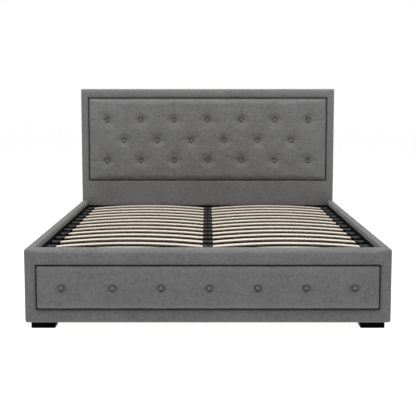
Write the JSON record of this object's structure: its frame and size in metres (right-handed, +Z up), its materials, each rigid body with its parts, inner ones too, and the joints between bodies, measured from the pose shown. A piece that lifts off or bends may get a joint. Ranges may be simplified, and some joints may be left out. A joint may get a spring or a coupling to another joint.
{
  "type": "platform bed with storage drawer",
  "caption": "Upholstered platform bed with a buttoned headboard, sprung slats and a full-width drawer that slides out of its foot end.",
  "frame": {"origin": "on the floor, at the middle of the bed's overall length and width", "axes": "+X from the left rail to the right rail as seen from the foot end, +Y from the foot end to the headboard, +Z up"},
  "size_m": [1.62, 2.185, 1.07],
  "materials": {
    "fabric": "mid-grey linen-look weave, matt",
    "slat_wood": "pale birch laminate, satin",
    "timber": "unfinished softwood",
    "black_timber": "black-stained softwood, matt",
    "drawer_board": "dark grey foil on board",
    "black_steel": "black powder coat",
    "zinc_steel": "bright zinc plate",
    "black_plastic": "moulded, satin",
    "dust_cloth": "black non-woven cloth"
  },
  "bodies": {
    "bed_frame": {"centre_holder_strip": "black_plastic", "centre_leg_front": "black_steel", "centre_leg_rear": "black_steel", "centre_spine": "black_steel", "dust_sheet": "dust_cloth", "foot_cover": "fabric", "foot_frame": "timber", "headboard_cover": "fabric", "headboard_frame": "black_timber", "headboard_pad": "fabric", "left_front_foot": "black_plastic", "left_holder_strip": "black_plastic", "left_rail_board": "timber", "left_rail_cover": "fabric", "left_slat_01": "slat_wood", "left_slat_02": "slat_wood", "left_slat_03": "slat_wood", "left_slat_04": "slat_wood", "left_slat_05": "slat_wood", "left_slat_06": "slat_wood", "left_slat_07": "slat_wood", "left_slat_08": "slat_wood", "left_slat_09": "slat_wood", "left_slat_10": "slat_wood", "left_slat_11": "slat_wood", "left_slat_12": "slat_wood", "left_slat_13": "slat_wood", "left_slat_14": "slat_wood", "left_slat_bearer": "black_steel", "left_slide_outer": "zinc_steel", "right_front_foot": "black_plastic", "right_holder_strip": "black_plastic", "right_rail_board": "timber", "right_rail_cover": "fabric", "right_slat_01": "slat_wood", "right_slat_02": "slat_wood", "right_slat_03": "slat_wood", "right_slat_04": "slat_wood", "right_slat_05": "slat_wood", "right_slat_06": "slat_wood", "right_slat_07": "slat_wood", "right_slat_08": "slat_wood", "right_slat_09": "slat_wood", "right_slat_10": "slat_wood", "right_slat_11": "slat_wood", "right_slat_12": "slat_wood", "right_slat_13": "slat_wood", "right_slat_14": "slat_wood", "right_slat_bearer": "black_steel", "right_slide_outer": "zinc_steel"},
    "drawer": {"drawer_front_pad": "fabric", "drawer_front_board": "drawer_board", "left_drawer_side": "drawer_board", "right_drawer_side": "drawer_board", "drawer_back": "drawer_board", "drawer_bottom": "drawer_board", "left_slide_inner": "zinc_steel", "right_slide_inner": "zinc_steel"},
    "left_slide_carriage": {"left_slide_middle": "zinc_steel"},
    "right_slide_carriage": {"right_slide_middle": "zinc_steel"}
  },
  "joints": [
    {"name": "drawer_slide", "type": "slide", "parent": "bed_frame", "child": "drawer", "axis": [0, -1, 0], "range_m": [0, 0.46]},
    {"name": "left_carriage_slide", "type": "slide", "parent": "bed_frame", "child": "left_slide_carriage", "axis": [0, -1, 0], "range_m": [0, 0.23]},
    {"name": "right_carriage_slide", "type": "slide", "parent": "bed_frame", "child": "right_slide_carriage", "axis": [0, -1, 0], "range_m": [0, 0.23]}
  ],
  "couplings": [
    {"joint": "left_carriage_slide", "follows": "drawer_slide", "ratio": 0.5},
    {"joint": "right_carriage_slide", "follows": "drawer_slide", "ratio": 0.5}
  ]
}
